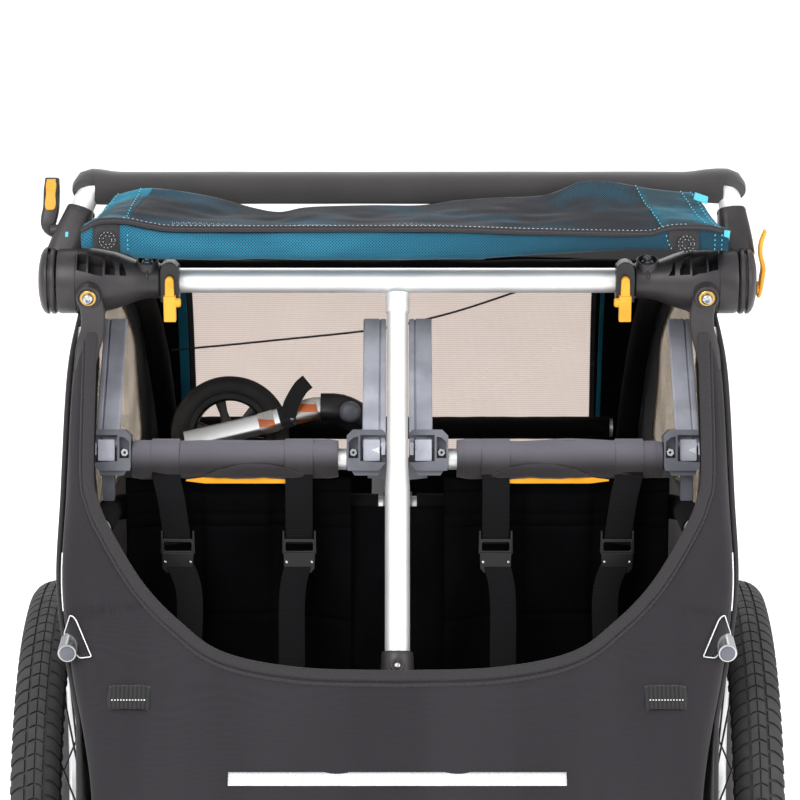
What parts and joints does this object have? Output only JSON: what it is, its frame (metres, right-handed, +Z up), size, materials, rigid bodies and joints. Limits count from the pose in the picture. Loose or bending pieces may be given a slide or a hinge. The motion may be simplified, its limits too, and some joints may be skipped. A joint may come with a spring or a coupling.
{
  "type": "child bicycle trailer",
  "caption": "Enclosed fabric trailer for carrying children behind a bicycle, with side wheels, reclining seats, tilting handlebar and swinging tow arm.",
  "frame": {"origin": "on the ground, under the middle of the object's box", "axes": "+Z up, +Y to the trailer's rear, +X across it"},
  "size_m": [0.792, 0.9129, 0.947],
  "materials": {
    "aluminium_tube": "satin",
    "black_plastic": "moulded, fine grain",
    "grey_plastic": "moulded, satin",
    "yellow_plastic": "satin",
    "foam": "matte foam",
    "tyre_rubber": "matte",
    "steel": "satin",
    "charcoal_fabric": "coated woven fabric",
    "black_fabric": "woven fabric",
    "beige_fabric": "ribbed translucent fabric",
    "teal_mesh": "woven mesh"
  },
  "bodies": {
    "frame": {"base_frame": "aluminium_tube", "lap_crossbar": "aluminium_tube", "rear_crossbar": "aluminium_tube", "front_crossbar": "aluminium_tube", "centre_post": "aluminium_tube", "seat_tube": "aluminium_tube", "stowed_wheel_arm": "aluminium_tube", "post_foot": "black_plastic", "tow_bracket": "black_plastic", "seat_rail_centre": "grey_plastic", "seat_bench": "black_fabric", "floor_tub": "black_fabric", "apron": "charcoal_fabric", "roof": "charcoal_fabric", "rear_panel": "beige_fabric", "cover_roll": "teal_mesh", "upright_right": "aluminium_tube", "rear_hoop_right": "aluminium_tube", "guard_rail_right": "aluminium_tube", "elbow_right": "black_plastic", "wheel_receiver_right": "black_plastic", "seat_rail_right": "grey_plastic", "seat_back_right": "black_fabric", "side_panel_right": "charcoal_fabric", "axle_right": "steel", "upright_left": "aluminium_tube", "rear_hoop_left": "aluminium_tube", "guard_rail_left": "aluminium_tube", "elbow_left": "black_plastic", "wheel_receiver_left": "black_plastic", "seat_rail_left": "grey_plastic", "seat_back_left": "black_fabric", "side_panel_left": "charcoal_fabric", "axle_left": "steel"},
    "wheel_right": {"tyre_right": "tyre_rubber", "rim_right": "aluminium_tube", "hub_and_spokes_right": "black_plastic"},
    "seat_right": {"seat_bar_right": "aluminium_tube", "seat_sleeve_right": "black_fabric", "seat_clamp_right_outer": "grey_plastic", "seat_clamp_right_inner": "grey_plastic"},
    "latch_right": {"latch_lever_right": "yellow_plastic"},
    "wheel_left": {"tyre_left": "tyre_rubber", "rim_left": "aluminium_tube", "hub_and_spokes_left": "black_plastic"},
    "seat_left": {"seat_bar_left": "aluminium_tube", "seat_sleeve_left": "black_fabric", "seat_clamp_left_outer": "grey_plastic", "seat_clamp_left_inner": "grey_plastic"},
    "latch_left": {"latch_lever_left": "yellow_plastic"},
    "handlebar": {"handlebar_knuckle_right": "black_plastic", "handlebar_knuckle_left": "black_plastic", "handlebar_tube": "aluminium_tube", "handlebar_grip": "foam"},
    "adjust_lever": {"adjust_lever": "yellow_plastic"},
    "brake_lever": {"brake_lever": "black_plastic"},
    "post_button": {"post_button": "steel"},
    "tow_arm": {"tow_arm": "aluminium_tube", "tow_hitch": "steel"},
    "stowed_wheel": {"stowed_wheel": "tyre_rubber"}
  },
  "joints": [
    {"name": "wheel_right_spin", "type": "hinge", "parent": "frame", "child": "wheel_right", "pos_m": [-0.365, 0.022, 0.25], "axis": [1, 0, 0], "continuous": true},
    {"name": "wheel_left_spin", "type": "hinge", "parent": "frame", "child": "wheel_left", "pos_m": [0.365, 0.022, 0.25], "axis": [1, 0, 0], "continuous": true},
    {"name": "seat_right_recline", "type": "slide", "parent": "frame", "child": "seat_right", "axis": [0, 0.828, 0.5608], "range_m": [0, 0.154]},
    {"name": "seat_left_recline", "type": "slide", "parent": "frame", "child": "seat_left", "axis": [0, 0.828, 0.5608], "range_m": [0, 0.154]},
    {"name": "latch_right_flip", "type": "hinge", "parent": "frame", "child": "latch_right", "pos_m": [-0.2315, -0.001, 0.857], "axis": [-1, 0, 0], "range_deg": [0, 90]},
    {"name": "latch_left_flip", "type": "hinge", "parent": "frame", "child": "latch_left", "pos_m": [0.2315, -0.001, 0.857], "axis": [-1, 0, 0], "range_deg": [0, 90]},
    {"name": "handlebar_tilt", "type": "hinge", "parent": "frame", "child": "handlebar", "pos_m": [0, 0.022, 0.845], "axis": [-1, 0, 0], "range_deg": [0, 40]},
    {"name": "adjust_lever_flip", "type": "hinge", "parent": "handlebar", "child": "adjust_lever", "pos_m": [0.3695, 0.022, 0.83], "axis": [0, 1, 0], "range_deg": [0, 20]},
    {"name": "brake_lever_pull", "type": "hinge", "parent": "handlebar", "child": "brake_lever", "pos_m": [-0.3615, 0.0512, 0.8974], "axis": [1, 0, 0], "range_deg": [0, 45]},
    {"name": "post_button_press", "type": "slide", "parent": "frame", "child": "post_button", "axis": [0, 0.8866, -0.4626], "range_m": [0, 0.003], "stiffness_N_per_m": 600},
    {"name": "tow_arm_swing", "type": "hinge", "parent": "frame", "child": "tow_arm", "pos_m": [-0.33, -0.372, 0.112], "axis": [0, 0, -1], "range_deg": [0, 90]},
    {"name": "stowed_wheel_spin", "type": "hinge", "parent": "frame", "child": "stowed_wheel", "pos_m": [-0.186, 0.238, 0.607], "axis": [0, -0.9539, 0.3], "continuous": true}
  ]
}
